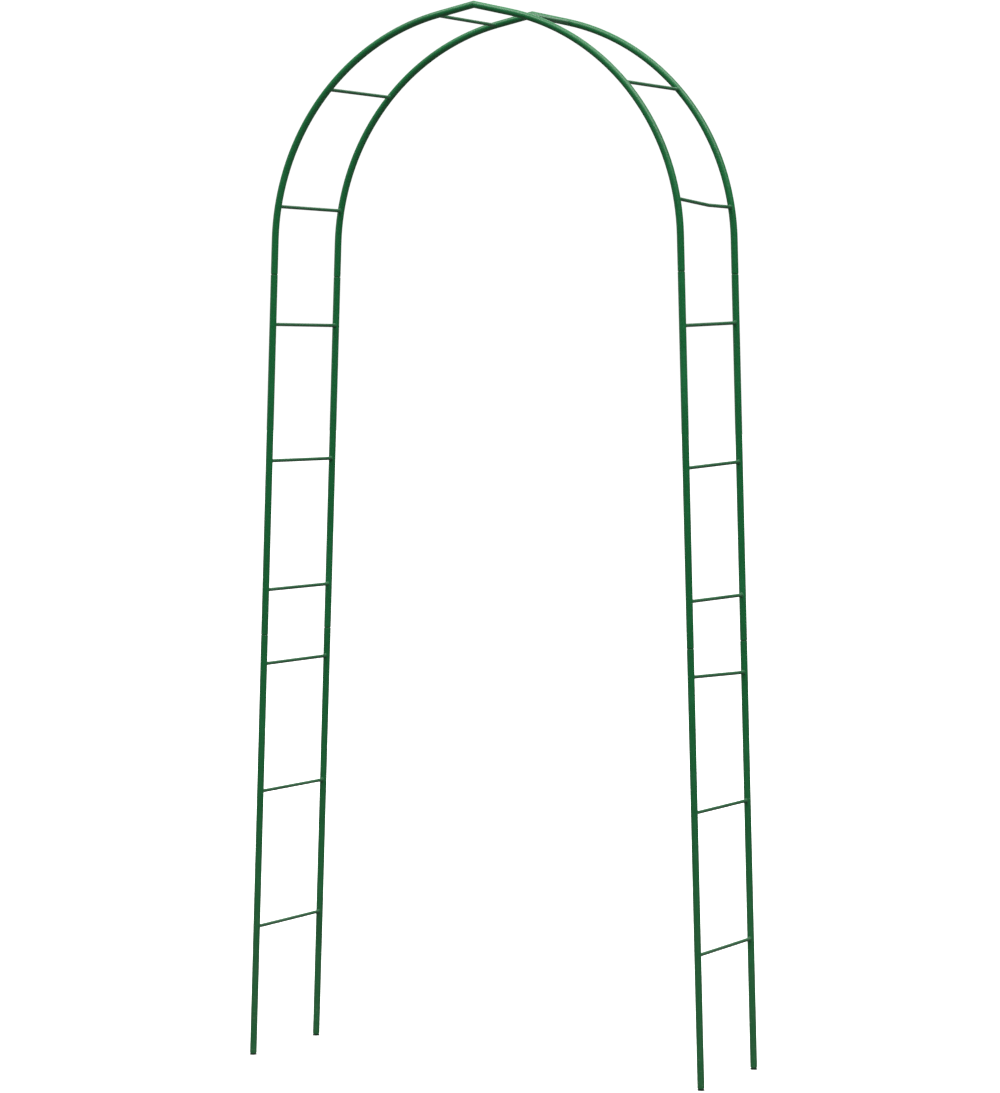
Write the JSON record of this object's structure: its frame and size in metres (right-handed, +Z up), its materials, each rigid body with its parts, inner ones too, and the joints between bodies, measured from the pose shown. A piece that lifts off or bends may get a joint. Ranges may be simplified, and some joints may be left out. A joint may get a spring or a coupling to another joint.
{
  "type": "garden trellis arch",
  "caption": "Freestanding round-topped tube arch with ladder sides of welded rungs, plugged together from sections, for training climbing plants over a path.",
  "frame": {"origin": "on the ground, in the middle of the four feet", "axes": "+X from the left leg to the right leg across the opening, +Y from the front arch to the back arch, +Z up"},
  "size_m": [1.1318, 0.328, 2.4],
  "materials": {
    "green_tube": "semi-gloss green powder coat on round steel tube, with orange peel and light dust",
    "green_rung": "semi-gloss green powder coat on round bar, a little thinner and duller than on the tubes",
    "dark_plastic": "moulded dark plastic, scuffed by the ground",
    "plated_steel": "plain zinc plated bar"
  },
  "bodies": {
    "left_lower": {"left_lower_front_tube": "green_tube", "left_lower_back_tube": "green_tube", "left_lower_rung_1": "green_rung", "left_lower_rung_2": "green_rung", "left_lower_rung_3": "green_rung", "left_front_foot_plug": "dark_plastic", "left_back_foot_plug": "dark_plastic"},
    "left_middle": {"left_middle_front_tube": "green_tube", "left_middle_back_tube": "green_tube", "left_middle_rung_1": "green_rung", "left_middle_rung_2": "green_rung", "left_middle_rung_3": "green_rung"},
    "left_arch": {"left_arch_front_tube": "green_tube", "left_arch_back_tube": "green_tube", "left_arch_rung_1": "green_rung", "left_arch_rung_2": "green_rung", "left_arch_rung_3": "green_rung", "front_apex_pin": "plated_steel", "back_apex_pin": "plated_steel"},
    "right_arch": {"right_arch_front_tube": "green_tube", "right_arch_back_tube": "green_tube", "right_arch_rung_1": "green_rung", "right_arch_rung_2": "green_rung", "right_arch_rung_3": "green_rung"},
    "right_middle": {"right_middle_front_tube": "green_tube", "right_middle_back_tube": "green_tube", "right_middle_rung_1": "green_rung", "right_middle_rung_2": "green_rung", "right_middle_rung_3": "green_rung"},
    "right_lower": {"right_lower_front_tube": "green_tube", "right_lower_back_tube": "green_tube", "right_lower_rung_1": "green_rung", "right_lower_rung_2": "green_rung", "right_lower_rung_3": "green_rung", "right_front_foot_plug": "dark_plastic", "right_back_foot_plug": "dark_plastic"}
  },
  "joints": [
    {"name": "left_lower_plug_slide", "type": "slide", "parent": "left_lower", "child": "left_middle", "axis": [0.0305, 0, 0.9995], "range_m": [0, 0.03]},
    {"name": "left_upper_plug_slide", "type": "slide", "parent": "left_middle", "child": "left_arch", "axis": [0.0305, 0, 0.9995], "range_m": [0, 0.03]},
    {"name": "apex_pin_slide", "type": "slide", "parent": "left_arch", "child": "right_arch", "axis": [0.9763, 0, -0.2164], "range_m": [0, 0.025]},
    {"name": "right_upper_plug_slide", "type": "slide", "parent": "right_arch", "child": "right_middle", "axis": [0.0305, 0, -0.9995], "range_m": [0, 0.03]},
    {"name": "right_lower_plug_slide", "type": "slide", "parent": "right_middle", "child": "right_lower", "axis": [0.0305, 0, -0.9995], "range_m": [0, 0.03]}
  ]
}
